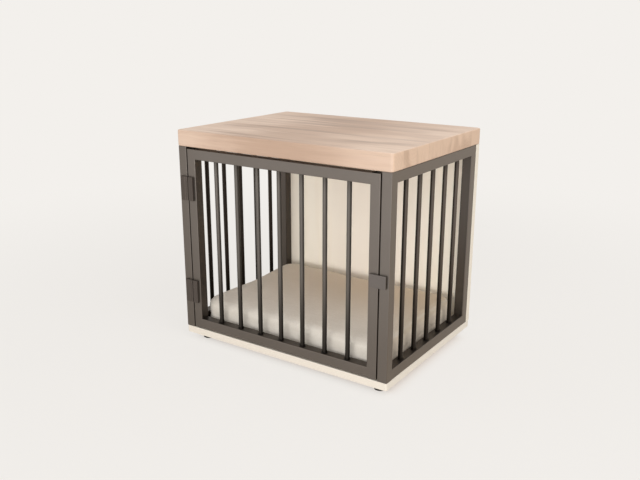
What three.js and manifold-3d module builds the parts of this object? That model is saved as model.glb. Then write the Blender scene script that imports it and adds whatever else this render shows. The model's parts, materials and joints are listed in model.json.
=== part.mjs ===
// Dog crate end table.
//
// Two welded side frames of square steel tube with round bars carry a solid wood top. They stand
// on a plywood base with four feet and are tied at the back by a plywood panel. A barred door
// hangs between the front posts on two block hinges and is held shut by a magnetic swivel tab.
//
// Millimetres. +X is to the right as one faces the door, +Y runs to the back, +Z is up. The origin
// is on the floor, under the middle of the whole table.

import * as THREE from 'three';
import { mergeVertices } from 'three/addons/utils/BufferGeometryUtils.js';
import Module from 'manifold-3d';

const wasm = await Module();
wasm.setup();

// ---------------------------------------------------------------- driving dimensions

const width = 600; // over the outer faces of the two side frames
const depth = 450; // from the front of the steel to the back of the rear panel
const frameHeight = 475;

const seat = 0.3; // between two pieces that sit on each other
const running = 0.3; // between two pieces that turn past each other

const tubeSize = 25; // square tube of the side frames and the door
const tubeWall = 1.5;
const tubeCorner = 2;
const barDiameter = 11;
const sideBarCount = 5;
const doorBarCount = 7;

const topThickness = 40;
const topOverhang = 2; // past the steel at the front and the two sides
const topCorner = 8;
const topEasing = 1.5; // the worn-off arris round the wood top
const baseThickness = 18;
const baseCorner = 5;
const panelThickness = 18;

const doorSideGap = 2.5; // between the door and each front post
const doorBottomGap = 2.5;
const doorTopGap = 5;

const hingeHeight = 60;
const hingeSpacing = 270; // from the middle of one hinge to the middle of the other
const hingeThickness = 6;
const leafReach = 19.5; // from the pin's axis to the leaf's outer edge
const leafEasing = 0.6;
const knuckleCount = 5;
const pinDiameter = 3;
const bevelLand = 0.6; // how far in front of the pin's axis the leaf's bevel begins
const bevelWidth = 2.8;

const tabHeight = 30;
const tabBack = 8; // from the pivot back to the tab's inner edge
const tabReach = 34; // from the pivot to the tab's free edge
const tabThickness = 4;
const tabCorner = 1.5;
const tabEasing = 0.5;
const tabStandOff = 2; // between the tab and the face of the steel
const pocketDepth = 2.2; // for the pivot bolt and for the magnet, in the back of the tab
const boltDiameter = 6;
const boltPast = 1.5; // how far the bolt's end shows past its nut
const washerDiameter = 12;
const nutAcrossFlats = 10;
const nutThickness = 5;
const magnetDiameter = 12;

const footHeight = 20;
const footTopDiameter = 35;
const footBottomDiameter = 31;
const footEdge = 2;
const footSideInset = 38; // from the side of the base to the middle of a foot
const footEndInset = 41; // from the front or the back of the base to the middle of a foot
const stemDiameter = 8;
const stemLength = 12;

const screwDiameter = 5;
const screwHeadDiameter = 10;
const panHeadHeight = 3.5;
const flatHeadHeight = 2.8;
const screwTip = 4;
const topScrewBite = 24; // how deep a screw enters the wood top
const tubeScrewBite = 8; // how far a screw ends up past the near wall of a tube
const panelScrewInset = 60; // from each end of a rear post to its panel screw

const cushionSideGap = 7; // from the cushion to each side frame
const cushionFrontGap = 7; // from the door to the cushion
const cushionBackGap = 20; // from the cushion to the back panel
const cushionEdgeHeight = 70;
const cushionCrown = 6; // how far the middle stands above the edge
const cushionCorner = 42;
const cushionTopRound = 20;
const cushionBottomRound = 14;
const cushionDrawIn = 7; // how far the middle of each side pulls in

// ---------------------------------------------------------------- worked-out places

const hingeProud = hingeThickness;
const tabProud = tabStandOff + tabThickness;
const proud = Math.max(hingeProud, tabProud);

const right = width / 2;
const back = (depth + proud) / 2;
const front = back - depth; // the front face of the steel

const baseBottom = footHeight + seat;
const baseTop = baseBottom + baseThickness;
const frameBottom = baseTop + seat;
const frameTop = frameBottom + frameHeight;
const topBottom = frameTop + seat;

const panelFront = back - panelThickness;
const frameBack = panelFront - seat;
const baseMiddle = (front + back) / 2; // of the base, front to back
const topMiddle = baseMiddle - topOverhang / 2; // of the wood top, front to back

const postX = right - tubeSize / 2;
const frontPostY = front + tubeSize / 2;
const rearPostY = frameBack - tubeSize / 2;
const sideRailLength = rearPostY - frontPostY - tubeSize - 2 * seat;
const sideRailY = (frontPostY + rearPostY) / 2;
const bottomRailZ = frameBottom + tubeSize / 2;
const topRailZ = frameTop - tubeSize / 2;

const doorWidth = width - 2 * (tubeSize + doorSideGap);
const doorHeight = frameHeight - doorTopGap - doorBottomGap;
const doorZ = frameBottom + doorBottomGap + doorHeight / 2;

const pinX = -right + tubeSize + doorSideGap / 2;
const pinY = front - hingeThickness / 2;
const knuckleRadius = hingeThickness / 2;
const pinRadius = pinDiameter / 2;
const pivotX = doorWidth / 2 - tubeSize / 2;

const cushionWidth = width - 2 * (tubeSize + cushionSideGap);
const cushionFront = front + tubeSize + cushionFrontGap;
const cushionBack = panelFront - cushionBackGap;
const cushionDepth = cushionBack - cushionFront;

// ---------------------------------------------------------------- materials

const paint = (color, roughness, metalness = 0) =>
  new THREE.MeshStandardMaterial({ color, roughness, metalness });

const blackSteel = paint(0x453f39, 0.5, 0.2);
const hingeSteel = paint(0x38332e, 0.45, 0.3);
const tabSteel = paint(0x55534d, 0.4, 0.5);
const zinc = paint(0xb8b9ba, 0.35, 0.9);
const magnetNickel = paint(0xc9c7c0, 0.25, 0.9);
const walnutPale = paint(0xc39a78, 0.55);
const birch = paint(0xe9dcc5, 0.6);
const creamBoard = paint(0xe0d3bd, 0.6);
const footRubber = paint(0x262423, 0.8);
const padFabric = paint(0xb9ac9a, 0.95);

// ---------------------------------------------------------------- solids

/** A closed manifold solid from a geometry that encloses a volume. */
function toSolid(geometry) {
  const bare = geometry.clone();
  bare.deleteAttribute('normal');
  bare.deleteAttribute('uv');
  const merged = mergeVertices(bare, 1e-4);
  const index = merged.index.array;
  const triangles = [];
  for (let i = 0; i < index.length; i += 3) {
    const [a, b, c] = [index[i], index[i + 1], index[i + 2]];
    if (a !== b && b !== c && c !== a) triangles.push(a, b, c);
  }
  return new wasm.Manifold(
    new wasm.Mesh({
      numProp: 3,
      vertProperties: merged.attributes.position.array,
      triVerts: new Uint32Array(triangles),
    }),
  );
}

function toGeometry(solid) {
  const mesh = solid.getMesh();
  const geometry = new THREE.BufferGeometry();
  geometry.setAttribute('position', new THREE.BufferAttribute(mesh.vertProperties, 3));
  geometry.setIndex(new THREE.BufferAttribute(mesh.triVerts, 1));
  geometry.computeVertexNormals();
  return geometry;
}

/** The geometry with each tool geometry taken away from it. */
function cut(geometry, tools) {
  let solid = toSolid(geometry);
  for (const tool of tools) solid = solid.subtract(toSolid(tool));
  return toGeometry(solid);
}

function join(geometries) {
  const [first, ...others] = geometries.map(toSolid);
  return others.reduce((sum, solid) => sum.add(solid), first);
}

/** Traces a centred rectangle with round corners on a Shape or a Path. */
function roundedRectangle(path, w, h, r) {
  const x = w / 2 - r;
  const y = h / 2 - r;
  path.moveTo(-x, -y - r);
  path.lineTo(x, -y - r);
  path.absarc(x, -y, r, -Math.PI / 2, 0);
  path.lineTo(x + r, y);
  path.absarc(x, y, r, 0, Math.PI / 2);
  path.lineTo(-x, y + r);
  path.absarc(-x, y, r, Math.PI / 2, Math.PI);
  path.lineTo(-x - r, -y);
  path.absarc(-x, -y, r, Math.PI, Math.PI * 1.5);
  return path;
}

/** Turns a geometry made along Z so that it runs along the named axis. */
function along(geometry, axis) {
  if (axis === 'x') geometry.rotateY(Math.PI / 2);
  if (axis === 'y') geometry.rotateX(-Math.PI / 2);
  return geometry;
}

/** A square tube with open ends, centred on its own middle. */
function squareTube(length, axis) {
  const section = roundedRectangle(new THREE.Shape(), tubeSize, tubeSize, tubeCorner);
  const bore = tubeSize - 2 * tubeWall;
  section.holes.push(roundedRectangle(new THREE.Path(), bore, bore, tubeCorner - tubeWall));
  const tube = new THREE.ExtrudeGeometry(section, {
    depth: length,
    bevelEnabled: false,
    curveSegments: 2,
  });
  tube.translate(0, 0, -length / 2);
  return along(tube, axis);
}

/** A round rod or drill along the named axis, from its start for its length. */
function rod(diameter, length, axis, sides = 20) {
  const cylinder = new THREE.CylinderGeometry(diameter / 2, diameter / 2, length, sides);
  cylinder.rotateX(Math.PI / 2);
  cylinder.translate(0, 0, length / 2);
  return along(cylinder, axis);
}

/** A solid of revolution along Z from [radius, z] pairs that run upwards from the axis. */
function turned(profile, sides) {
  const points = profile.map(([r, z]) => new THREE.Vector2(r, z));
  return new THREE.LatheGeometry(points, sides).rotateX(Math.PI / 2);
}

/** Centres of bars that leave equal clear gaps in an opening centred on zero. */
function barPlaces(opening, count) {
  const pitch = (opening + barDiameter) / (count + 1);
  return Array.from({ length: count }, (_, i) => (i - (count - 1) / 2) * pitch);
}

// ---------------------------------------------------------------- screws

const screwHole = screwDiameter + 2 * seat;
const screwSides = 12;

/** A pan-head wood screw that points up, with the underside of its head at z = 0. */
function panScrew(length) {
  const head = screwHeadDiameter / 2;
  return turned(
    [
      [0, -panHeadHeight],
      [head * 0.62, -panHeadHeight],
      [head * 0.92, -panHeadHeight * 0.62],
      [head, -panHeadHeight * 0.2],
      [head, 0],
      [screwDiameter / 2, 0],
      [screwDiameter / 2, length - screwTip],
      [0, length],
    ],
    screwSides,
  );
}

/** A countersunk screw that points up, with the flat of its head at z = 0. */
function flatScrew(length) {
  return turned(
    [
      [0, 0],
      [screwHeadDiameter / 2, 0],
      [screwHeadDiameter / 2, 0.4],
      [screwDiameter / 2, flatHeadHeight],
      [screwDiameter / 2, length - screwTip / 2],
      [screwDiameter / 2 - 1, length],
      [0, length],
    ],
    screwSides,
  );
}

/** What is drilled away for a countersunk screw: a hole with a conical mouth at z = 0. */
function countersink(length) {
  const past = 1;
  const mouth = screwHeadDiameter / 2 + seat;
  return turned(
    [
      [0, -past],
      [mouth, -past],
      [mouth, 0.4 + seat],
      [screwHole / 2, flatHeadHeight + seat],
      [screwHole / 2, length],
      [0, length],
    ],
    screwSides,
  );
}

// ---------------------------------------------------------------- the table

const table = new THREE.Group();

function add(parent, name, geometry, material, x, y, z) {
  const mesh = new THREE.Mesh(geometry, material);
  mesh.name = name;
  mesh.position.set(x, y, z);
  parent.add(mesh);
}

const sideBars = barPlaces(sideRailLength + 2 * seat, sideBarCount);
// The screws of the top and the base sit between the first two and between the last two bars.
const screwPlaces = [
  (sideBars[0] + sideBars[1]) / 2,
  (sideBars[sideBarCount - 2] + sideBars[sideBarCount - 1]) / 2,
];
const sides = { left: -1, right: 1 };
const ends = ['front', 'rear'];

/** A welded side frame: two posts, two rails between them and round bars between the rails. */
function sideFrame(side, sign) {
  const frame = new THREE.Group();
  frame.position.set(sign * postX, 0, 0);
  table.add(frame);

  const postZ = frameBottom + frameHeight / 2;
  const postDrill = (z) => rod(screwHole, tubeSize, 'y', screwSides).translate(0, 0, z);
  const screwZ = frameHeight / 2 - panelScrewInset;
  const frontPost = squareTube(frameHeight, 'z');
  const rearPost = cut(squareTube(frameHeight, 'z'), [postDrill(-screwZ), postDrill(screwZ)]);
  add(frame, `${side}_front_post`, frontPost, blackSteel, 0, frontPostY, postZ);
  add(frame, `${side}_rear_post`, rearPost, blackSteel, 0, rearPostY, postZ);

  const railDrills = (length) =>
    screwPlaces.map((y) => rod(screwHole, length, 'z', screwSides).translate(0, y, -tubeSize));
  const topRail = cut(squareTube(sideRailLength, 'y'), railDrills(2 * tubeSize));
  const bottomRail = cut(squareTube(sideRailLength, 'y'), railDrills(tubeSize));
  add(frame, `${side}_top_rail`, topRail, blackSteel, 0, sideRailY, topRailZ);
  add(frame, `${side}_bottom_rail`, bottomRail, blackSteel, 0, sideRailY, bottomRailZ);

  const barLength = frameHeight - 2 * tubeSize - 2 * seat;
  sideBars.forEach((y, i) => {
    const bar = rod(barDiameter, barLength, 'z');
    add(frame, `${side}_bar_${i + 1}`, bar, blackSteel, 0, sideRailY + y, frameBottom + tubeSize + seat);
  });
}

/** The wood top: a thick slab with round corners and eased arrises, which overhangs a little. */
function woodTop() {
  const inset = 2 * topEasing;
  const outline = roundedRectangle(
    new THREE.Shape(),
    width + 2 * topOverhang - inset,
    depth + topOverhang - inset,
    topCorner - topEasing,
  );
  const slab = new THREE.ExtrudeGeometry(outline, {
    depth: topThickness - inset,
    bevelThickness: topEasing,
    bevelSize: topEasing,
    bevelSegments: 2,
    curveSegments: 3,
  });
  slab.translate(0, 0, topEasing);
  const pilots = [];
  for (const sign of Object.values(sides)) {
    for (const y of screwPlaces) {
      const pilot = rod(screwHole, topScrewBite + 2, 'z', screwSides);
      pilots.push(pilot.translate(sign * postX, sideRailY + y - topMiddle, -1));
    }
  }
  add(table, 'wood_top', cut(slab, pilots), walnutPale, 0, topMiddle, topBottom);
}

const footPlaces = {
  front: front + footEndInset,
  rear: back - footEndInset,
};
const footX = right - footSideInset;

/** The plywood base, drilled for its countersunk screws and for the stems of the feet. */
function plywoodBase() {
  const outline = roundedRectangle(new THREE.Shape(), width, depth, baseCorner);
  const board = new THREE.ExtrudeGeometry(outline, {
    depth: baseThickness,
    bevelEnabled: false,
    curveSegments: 3,
  });
  const drills = [];
  for (const sign of Object.values(sides)) {
    for (const y of screwPlaces) {
      const hole = countersink(baseThickness + 1);
      drills.push(hole.translate(sign * postX, sideRailY + y - baseMiddle, 0));
    }
    for (const y of Object.values(footPlaces)) {
      const socket = rod(stemDiameter + 2 * seat, stemLength + 1 + seat, 'z', 16);
      drills.push(socket.translate(sign * footX, y - baseMiddle, -1));
    }
  }
  add(table, 'plywood_base', cut(board, drills), birch, 0, baseMiddle, baseBottom);
}

/** The panel that closes the back, screwed to the rear posts from behind. */
function backPanel() {
  const board = new THREE.BoxGeometry(width, panelThickness, frameHeight);
  const screwZ = frameHeight / 2 - panelScrewInset;
  const drills = [];
  for (const sign of Object.values(sides)) {
    for (const z of [-screwZ, screwZ]) {
      const hole = countersink(panelThickness + 1).rotateX(Math.PI / 2);
      drills.push(hole.translate(sign * postX, panelThickness / 2, z));
    }
  }
  const panel = cut(board, drills);
  const y = panelFront + panelThickness / 2;
  add(table, 'back_panel', panel, creamBoard, 0, y, frameBottom + frameHeight / 2);
}

/** Screws: up through the top rails, up through the base and forward through the panel. */
function screws() {
  const topScrewLength = tubeSize + seat + topScrewBite;
  const baseScrewLength = baseThickness + seat + tubeWall + tubeScrewBite;
  const panelScrewLength = panelThickness + seat + tubeWall + tubeScrewBite;
  for (const [side, sign] of Object.entries(sides)) {
    const x = sign * postX;
    screwPlaces.forEach((offset, i) => {
      const y = sideRailY + offset;
      const headZ = frameTop - tubeSize - seat;
      add(table, `top_screw_${side}_${ends[i]}`, panScrew(topScrewLength), zinc, x, y, headZ);
      add(table, `base_screw_${side}_${ends[i]}`, flatScrew(baseScrewLength), zinc, x, y, baseBottom);
    });
    const heights = { lower: frameBottom + panelScrewInset, upper: frameTop - panelScrewInset };
    for (const [level, z] of Object.entries(heights)) {
      const screw = flatScrew(panelScrewLength).rotateX(Math.PI / 2);
      add(table, `panel_screw_${side}_${level}`, screw, zinc, x, back, z);
    }
  }
}

/** Rubber feet, each with a stem that is pushed into the base. */
function feet() {
  const bottom = footBottomDiameter / 2;
  const top = footTopDiameter / 2;
  const foot = [
    [0, 0],
    [bottom - footEdge, 0],
    [bottom - footEdge * 0.3, footEdge * 0.3],
    [bottom, footEdge],
    [top, footHeight - footEdge],
    [top - footEdge / 2, footHeight],
    [stemDiameter / 2, footHeight],
    [stemDiameter / 2, footHeight + seat + stemLength - 1],
    [stemDiameter / 2 - 1, footHeight + stemLength],
    [0, footHeight + stemLength],
  ];
  for (const [side, sign] of Object.entries(sides)) {
    for (const [end, y] of Object.entries(footPlaces)) {
      add(table, `foot_${end}_${side}`, turned(foot, 24), footRubber, sign * footX, y, 0);
    }
  }
}

/** The door: two stiles, two rails between them and round bars between the rails. */
function door() {
  const leaf = new THREE.Group();
  leaf.position.set(0, frontPostY, doorZ);
  table.add(leaf);

  const stileX = doorWidth / 2 - tubeSize / 2;
  const pivotDrill = rod(boltDiameter + 2 * running, 2 * tubeSize, 'y').translate(0, -tubeSize, 0);
  const hingeStile = squareTube(doorHeight, 'z');
  const latchStile = cut(squareTube(doorHeight, 'z'), [pivotDrill]);
  add(leaf, 'door_hinge_stile', hingeStile, blackSteel, -stileX, 0, 0);
  add(leaf, 'door_latch_stile', latchStile, blackSteel, stileX, 0, 0);

  const opening = doorWidth - 2 * tubeSize;
  const railZ = doorHeight / 2 - tubeSize / 2;
  const railLength = opening - 2 * seat;
  add(leaf, 'door_top_rail', squareTube(railLength, 'x'), blackSteel, 0, 0, railZ);
  add(leaf, 'door_bottom_rail', squareTube(railLength, 'x'), blackSteel, 0, 0, -railZ);

  const barLength = doorHeight - 2 * tubeSize - 2 * seat;
  barPlaces(opening, doorBarCount).forEach((x, i) => {
    add(leaf, `door_bar_${i + 1}`, rod(barDiameter, barLength, 'z'), blackSteel, x, 0, -barLength / 2);
  });
}

/**
 * One leaf of a block hinge, with its pin's axis as the origin. The bevels beside the knuckles let
 * the two leaves fold towards each other as the door swings out.
 */
function hingeLeaf(direction, ownsKnuckle) {
  const rear = hingeThickness / 2 - seat;
  const face = -hingeThickness / 2;
  const start = knuckleRadius + running;
  const plan = new THREE.Shape(
    [
      [start, rear],
      [start, -bevelLand],
      [start + bevelWidth, face],
      [leafReach - leafEasing, face],
      [leafReach, face + leafEasing],
      [leafReach, rear],
    ].map(([x, y]) => new THREE.Vector2(direction * x, y)),
  );
  const web = new THREE.Shape(
    [
      [0, rear],
      [0, -bevelLand],
      [start + 1, -bevelLand],
      [start + 1, rear],
    ].map(([x, y]) => new THREE.Vector2(direction * x, y)),
  );
  const knuckleLength = (hingeHeight - (knuckleCount - 1) * running) / knuckleCount;
  const plate = new THREE.ExtrudeGeometry(plan, { depth: hingeHeight, bevelEnabled: false });
  const pieces = [plate];
  for (let i = 0; i < knuckleCount; i += 1) {
    if (!ownsKnuckle(i)) continue;
    const z = i * (knuckleLength + running);
    const webPiece = new THREE.ExtrudeGeometry(web, { depth: knuckleLength, bevelEnabled: false });
    pieces.push(webPiece.translate(0, 0, z));
    pieces.push(rod(2 * knuckleRadius, knuckleLength, 'z').translate(0, 0, z));
  }
  const bore = rod(pinDiameter + 2 * running, hingeHeight + 2, 'z', 16).translate(0, 0, -1);
  const leaf = toGeometry(join(pieces).subtract(toSolid(bore)));
  return leaf.translate(0, 0, -hingeHeight / 2);
}

/** Two hinges: a leaf on the post, a leaf on the door and the pin that joins them. */
function hinges() {
  const chamfer = 0.4;
  const pinHalf = hingeHeight / 2;
  const pin = [
    [0, -pinHalf],
    [pinRadius - chamfer, -pinHalf],
    [pinRadius, chamfer - pinHalf],
    [pinRadius, pinHalf - chamfer],
    [pinRadius - chamfer, pinHalf],
    [0, pinHalf],
  ];
  const places = { lower: doorZ - hingeSpacing / 2, upper: doorZ + hingeSpacing / 2 };
  for (const [level, z] of Object.entries(places)) {
    const postLeaf = hingeLeaf(-1, (i) => i % 2 === 0);
    const doorLeaf = hingeLeaf(1, (i) => i % 2 === 1);
    add(table, `hinge_${level}_post_leaf`, postLeaf, hingeSteel, pinX, pinY, z);
    add(table, `hinge_${level}_door_leaf`, doorLeaf, hingeSteel, pinX, pinY, z);
    add(table, `hinge_${level}_pin`, turned(pin, 16), hingeSteel, pinX, pinY, z);
  }
}

/**
 * The latch: a tab that turns on a bolt through the door's stile. A magnet in the back of the tab
 * holds it, and the door with it, against the front post.
 */
function latch() {
  const group = new THREE.Group();
  group.position.set(pivotX, front, doorZ);
  table.add(group);

  const inset = 2 * tabEasing;
  const outline = roundedRectangle(
    new THREE.Shape(),
    tabBack + tabReach - inset,
    tabHeight - inset,
    tabCorner - tabEasing,
  );
  const plate = new THREE.ExtrudeGeometry(outline, {
    depth: tabThickness - inset,
    bevelThickness: tabEasing,
    bevelSize: tabEasing,
    bevelSegments: 1,
    curveSegments: 2,
  });
  plate.rotateX(Math.PI / 2); // the thickness now runs towards -Y
  plate.translate((tabReach - tabBack) / 2, -tabStandOff - tabEasing, 0);
  const postEdge = tubeSize / 2 + doorSideGap;
  const magnetX = (postEdge + tabReach) / 2;
  const pocket = (diameter, x) =>
    rod(diameter + 2 * seat, pocketDepth + 1, 'y').translate(x, -tabStandOff - pocketDepth, 0);
  const tab = cut(plate, [pocket(boltDiameter, 0), pocket(magnetDiameter, magnetX)]);
  add(group, 'latch_tab', tab, tabSteel, 0, 0, 0);

  const boltStart = -tabStandOff - pocketDepth + seat;
  const boltEnd = tubeSize + seat + nutThickness + boltPast;
  const bolt = rod(boltDiameter, boltEnd - boltStart, 'y', 16);
  add(group, 'latch_pivot_bolt', bolt, zinc, 0, boltStart, 0);

  const washerThickness = tabStandOff - 2 * seat;
  const washerHole = rod(boltDiameter + 2 * running, 2 * washerThickness, 'y', 16);
  washerHole.translate(0, -washerThickness / 2, 0);
  const washer = cut(rod(washerDiameter, washerThickness, 'y'), [washerHole]);
  add(group, 'latch_washer', washer, zinc, 0, seat - tabStandOff, 0);

  const nutHole = rod(boltDiameter + 2 * seat, 2 * nutThickness, 'y', 16);
  nutHole.translate(0, -nutThickness / 2, 0);
  const nutAcrossCorners = nutAcrossFlats / Math.cos(Math.PI / 6);
  const nut = cut(rod(nutAcrossCorners, nutThickness, 'y', 6), [nutHole]);
  add(group, 'latch_nut', nut, zinc, 0, tubeSize + seat, 0);

  const magnetThickness = -seat - boltStart;
  const magnet = rod(magnetDiameter, magnetThickness, 'y');
  add(group, 'latch_magnet', magnet, magnetNickel, magnetX, boltStart, 0);
}

/**
 * The plan of the cushion: a rounded rectangle whose sides pull in between the corners. Each point
 * carries its outward normal, so that the edge can be rounded over.
 */
function cushionPlan() {
  const sideSteps = 8;
  const cornerSteps = 6;
  const x = cushionWidth / 2 - cushionCorner;
  const y = cushionDepth / 2 - cushionCorner;
  const corners = [
    [x, y],
    [-x, y],
    [-x, -y],
    [x, -y],
  ];
  const plan = [];
  corners.forEach(([cx, cy], k) => {
    for (let i = 0; i <= cornerSteps; i += 1) {
      const angle = (k + i / cornerSteps) * (Math.PI / 2);
      const normal = new THREE.Vector2(Math.cos(angle), Math.sin(angle));
      plan.push({ point: new THREE.Vector2(cx, cy).addScaledVector(normal, cushionCorner), normal });
    }
    const end = plan[plan.length - 1];
    const next = new THREE.Vector2(...corners[(k + 1) % 4]).addScaledVector(end.normal, cushionCorner);
    for (let i = 1; i < sideSteps; i += 1) {
      const t = i / sideSteps;
      const pull = cushionDrawIn * Math.sin(Math.PI * t) ** 2;
      const point = end.point.clone().lerp(next, t).addScaledVector(end.normal, -pull);
      plan.push({ point, normal: end.normal });
    }
  });
  return plan;
}

/** The cushion: flat where it lies on the base, rounded at its edges and crowned on top. */
function cushion() {
  const plan = cushionPlan();
  const rings = []; // each ring gives a plan position and a height to every point of the plan
  const edgeRing = (inset, z) =>
    rings.push(({ point, normal }) => [point.x - normal.x * inset, point.y - normal.y * inset, z]);
  const crownRing = (scale, inset, z) =>
    rings.push(({ point, normal }) => [
      (point.x - normal.x * inset) * scale,
      (point.y - normal.y * inset) * scale,
      z,
    ]);

  crownRing(0.5, cushionBottomRound, 0);
  const bottomSteps = 3;
  for (let i = 0; i <= bottomSteps; i += 1) {
    const angle = (i / bottomSteps) * (Math.PI / 2);
    edgeRing(cushionBottomRound * (1 - Math.sin(angle)), cushionBottomRound * (1 - Math.cos(angle)));
  }
  const topSteps = 5;
  for (let i = 0; i <= topSteps; i += 1) {
    const angle = (i / topSteps) * (Math.PI / 2) * 0.86;
    const z = cushionEdgeHeight - cushionTopRound * (1 - Math.sin(angle));
    edgeRing(cushionTopRound * (1 - Math.cos(angle)), z);
  }
  const crownSteps = 5;
  for (let i = crownSteps - 1; i > 0; i -= 1) {
    const scale = i / crownSteps;
    crownRing(scale, cushionTopRound, cushionEdgeHeight + cushionCrown * (1 - scale ** 2));
  }

  const positions = rings.flatMap((ring) => plan.flatMap((place) => ring(place)));
  const bottomPole = positions.length / 3;
  positions.push(0, 0, 0);
  const topPole = bottomPole + 1;
  positions.push(0, 0, cushionEdgeHeight + cushionCrown);

  const count = plan.length;
  const triangles = [];
  for (let j = 0; j < count; j += 1) {
    const next = (j + 1) % count;
    triangles.push(bottomPole, next, j);
    for (let i = 0; i + 1 < rings.length; i += 1) {
      const [a, b] = [i * count + j, i * count + next];
      const [c, d] = [b + count, a + count];
      triangles.push(a, b, c, a, c, d);
    }
    const last = (rings.length - 1) * count;
    triangles.push(topPole, last + j, last + next);
  }
  const geometry = new THREE.BufferGeometry();
  geometry.setAttribute('position', new THREE.Float32BufferAttribute(positions, 3));
  geometry.setIndex(triangles);
  geometry.computeVertexNormals();
  add(table, 'cushion', geometry, padFabric, 0, (cushionFront + cushionBack) / 2, baseTop + seat);
}

for (const [side, sign] of Object.entries(sides)) sideFrame(side, sign);
woodTop();
plywoodBase();
backPanel();
screws();
feet();
door();
hinges();
latch();
cushion();

export default table;
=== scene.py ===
# %% [markdown]
# # A dog crate that is also an end table
# The real thing is a welded steel crate with a barred door, a thick wood top, a plywood base on
# rubber feet, a cream board across the back and a cushion on its floor. The solids that carry and
# move it come from the frame. This script gives each of them the skin that the eye sees: rounded
# tubes, welded bars, oiled wood, cut plywood and a sewn pad. The outer sizes are read from the
# frame, so a skin lies where its solid lies.

# %% Load the frame
import json
import math

import bmesh
import bpy
from mathutils import Matrix, Vector, noise

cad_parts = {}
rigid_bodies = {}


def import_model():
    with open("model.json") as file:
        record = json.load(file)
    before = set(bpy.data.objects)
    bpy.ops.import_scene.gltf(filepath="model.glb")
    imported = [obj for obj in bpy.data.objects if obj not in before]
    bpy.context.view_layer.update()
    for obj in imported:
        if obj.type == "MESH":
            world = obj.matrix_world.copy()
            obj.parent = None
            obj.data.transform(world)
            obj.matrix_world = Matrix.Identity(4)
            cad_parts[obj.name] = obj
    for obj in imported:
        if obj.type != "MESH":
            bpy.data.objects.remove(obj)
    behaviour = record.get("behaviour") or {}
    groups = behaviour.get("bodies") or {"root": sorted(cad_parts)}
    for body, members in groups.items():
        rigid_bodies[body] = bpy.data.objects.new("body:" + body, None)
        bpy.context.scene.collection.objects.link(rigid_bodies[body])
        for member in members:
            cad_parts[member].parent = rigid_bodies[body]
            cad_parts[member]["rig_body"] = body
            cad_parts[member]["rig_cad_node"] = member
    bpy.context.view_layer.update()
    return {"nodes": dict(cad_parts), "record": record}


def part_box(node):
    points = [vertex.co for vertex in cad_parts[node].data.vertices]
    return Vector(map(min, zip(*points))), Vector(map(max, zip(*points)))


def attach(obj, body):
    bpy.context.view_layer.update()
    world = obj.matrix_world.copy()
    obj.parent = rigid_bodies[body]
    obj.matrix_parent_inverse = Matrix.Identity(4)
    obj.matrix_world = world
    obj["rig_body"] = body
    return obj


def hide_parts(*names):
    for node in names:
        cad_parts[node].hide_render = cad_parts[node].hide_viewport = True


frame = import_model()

slot_of = {part["node"]: part["material_slot"] for part in frame["record"]["subparts"]}
MM = 0.001
SIDES = ("left", "right")
ENDS = ("front", "rear")
LEVELS = ("lower", "upper")

# %% [markdown]
# ## Camera
# The photograph was taken from the front right, a little above the table, with a lens that a small
# room allows. A real camera is described by where it stands, where it points and its lens, so those
# are the values here. They were worked out from the table's own corners, so no shift is needed.

# %% Camera
CAMERA_PLACE = Vector((1.0179, -1.5443, 0.8153))
CAMERA_TURN = math.radians(34.124)
CAMERA_DIP = math.radians(16.512)
CAMERA_ROLL = math.radians(0.072)
LENS_MM = 42.103
SENSOR_MM = 36.0
NEAREST_SEEN = 0.01

camera_data = bpy.data.cameras.new("camera")
camera_data.lens = LENS_MM
camera_data.sensor_width = SENSOR_MM
camera_data.sensor_fit = "HORIZONTAL"
camera_data.clip_start = NEAREST_SEEN
camera = bpy.data.objects.new("camera", camera_data)
camera.location = CAMERA_PLACE
turn = Matrix.Rotation(CAMERA_TURN, 4, "Z") @ Matrix.Rotation(math.pi / 2 - CAMERA_DIP, 4, "X")
camera.rotation_euler = (turn @ Matrix.Rotation(CAMERA_ROLL, 4, "Z")).to_euler()
bpy.context.scene.collection.objects.link(camera)
bpy.context.scene.camera = camera

# %% [markdown]
# ## Shader sums
# A finish is easier to read as a sum than as a web of nodes. `Field` wraps a socket, and Python's
# own operators add the Math nodes, so `1 - mask` is a real expression. `Finish` is one material,
# and its `node` method makes any other node: first the settings, then the values or links. A Mix
# node has number, vector and colour sockets with the same names, so the colour ones are picked by
# their places in its lists.

# %% Fields and finishes
MIX_SHARE, MIX_FIRST, MIX_SECOND, MIX_COLOUR = 0, 6, 7, 2


class Field:
    """A number that varies over a surface, which can be used in Python sums."""

    def __init__(self, finish, socket):
        self.finish = finish
        self.socket = socket

    def sum(self, operation, first, second):
        return self.finish.node("Math", {"operation": operation}, {0: first, 1: second})

    def __add__(self, other):
        return self.sum("ADD", self, other)

    def __radd__(self, other):
        return self.sum("ADD", other, self)

    def __sub__(self, other):
        return self.sum("SUBTRACT", self, other)

    def __rsub__(self, other):
        return self.sum("SUBTRACT", other, self)

    def __mul__(self, other):
        return self.sum("MULTIPLY", self, other)

    def __rmul__(self, other):
        return self.sum("MULTIPLY", other, self)

    def __truediv__(self, other):
        return self.sum("DIVIDE", self, other)

    def __pow__(self, other):
        return self.sum("POWER", self, other)

    def __gt__(self, other):
        return self.sum("GREATER_THAN", self, other)

    def __abs__(self):
        return self.sum("ABSOLUTE", self, 0.0)

    def floor(self):
        return self.sum("FLOOR", self, 0.0)

    def wave(self):
        return self.sum("SINE", self, 0.0)

    def fraction(self):
        return self.sum("FRACT", self, 0.0)

    def smooth(self, low, high):
        """0 below low, 1 above high and a soft step between them."""
        settings = {"interpolation_type": "SMOOTHSTEP"}
        sockets = {"Value": self, "From Min": low, "From Max": high}
        return self.finish.node("MapRange", settings, sockets)


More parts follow.
